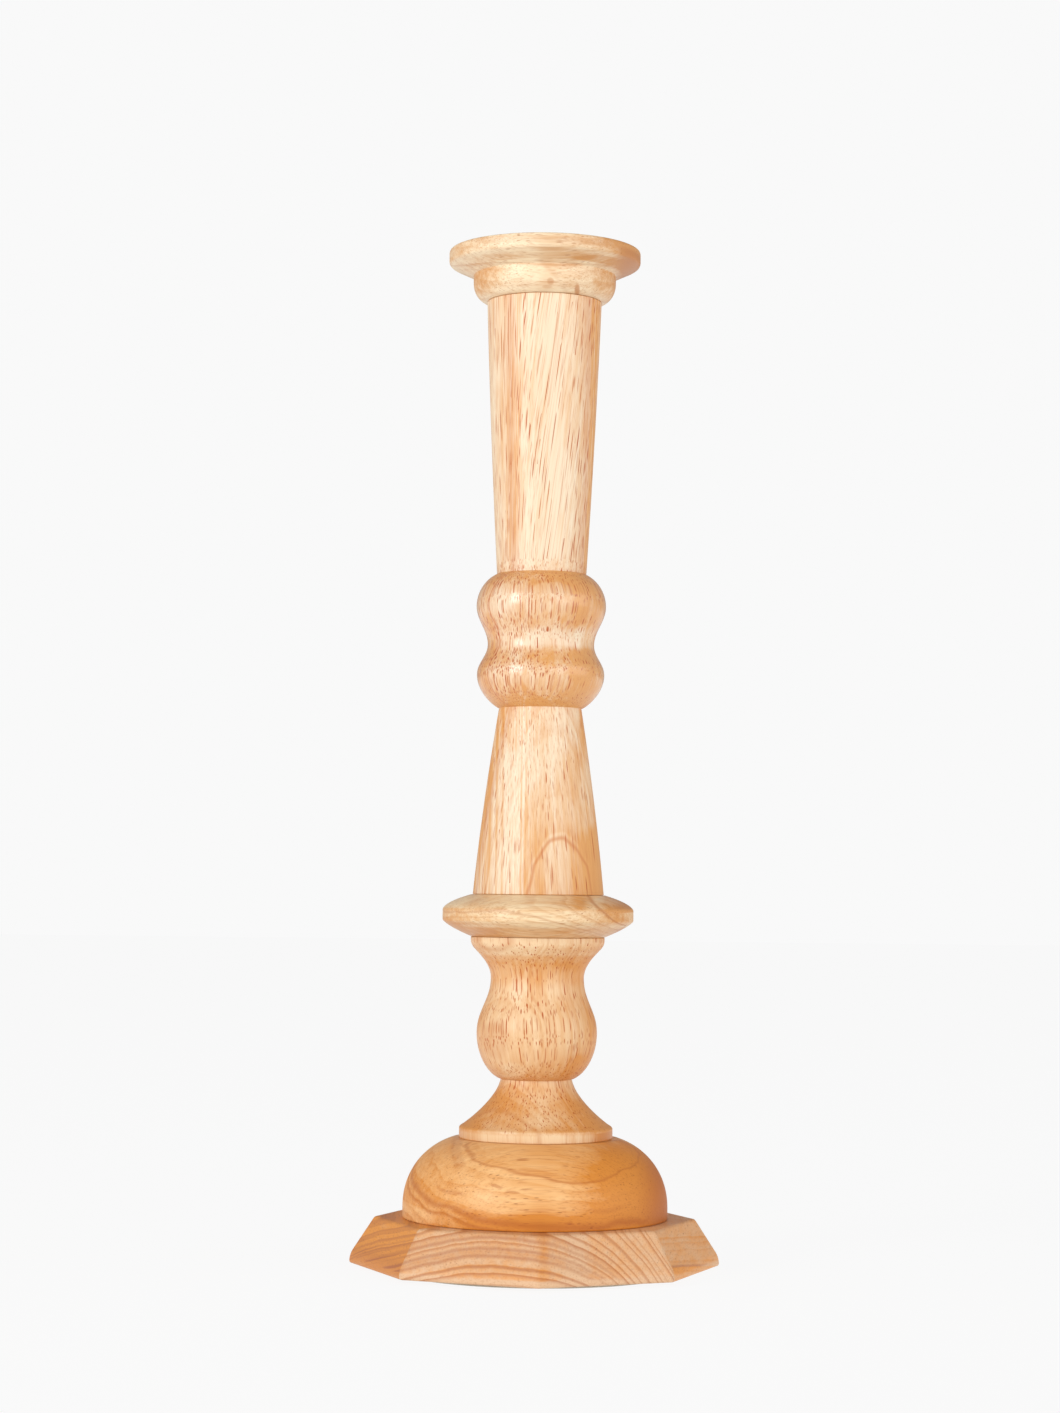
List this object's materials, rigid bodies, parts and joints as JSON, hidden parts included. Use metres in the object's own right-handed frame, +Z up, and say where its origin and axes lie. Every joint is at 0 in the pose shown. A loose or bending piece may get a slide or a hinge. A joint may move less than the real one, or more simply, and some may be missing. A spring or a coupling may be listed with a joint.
{
  "type": "wooden candlestick",
  "caption": "Tall turned light-hardwood candlestick with a round drip pan, double-knop column, collar, vase baluster and dome on an octagonal plinth, for one taper candle.",
  "frame": {"origin": "middle of the felt pad's underside, on the table, on the turned axis", "axes": "+Z up along the turned axis; -Y is the front; the plinth has a corner on each of the X and Y axes"},
  "size_m": [0.1234, 0.1234, 0.3418],
  "materials": {
    "pan_wood": "light hardwood, clear satin finish, horizontal grain",
    "column_wood": "light hardwood, clear satin finish, upright grain with fine red-brown pores",
    "collar_wood": "light hardwood, clear satin finish, horizontal grain",
    "baluster_wood": "light hardwood, clear satin finish, upright grain",
    "dome_wood": "orange-tan hardwood, clear satin finish, horizontal grain",
    "plinth_wood": "light hardwood board, clear satin finish, growth rings on the end-grain facets",
    "brass": "spun brass, satin",
    "brass_screw": "brass, plain",
    "zinc_steel": "zinc plated steel",
    "felt": "brown wool felt, self-adhesive"
  },
  "bodies": {
    "root": {"drip_pan": "pan_wood", "candle_cup": "brass", "cup_screw": "brass_screw", "column": "column_wood", "collar": "collar_wood", "baluster": "baluster_wood", "dome": "dome_wood", "plinth": "plinth_wood", "base_screw": "zinc_steel", "base_washer": "zinc_steel", "plinth_screw_1": "zinc_steel", "plinth_screw_2": "zinc_steel", "plinth_screw_3": "zinc_steel", "plinth_screw_4": "zinc_steel", "felt_pad": "felt"}
  },
  "joints": []
}
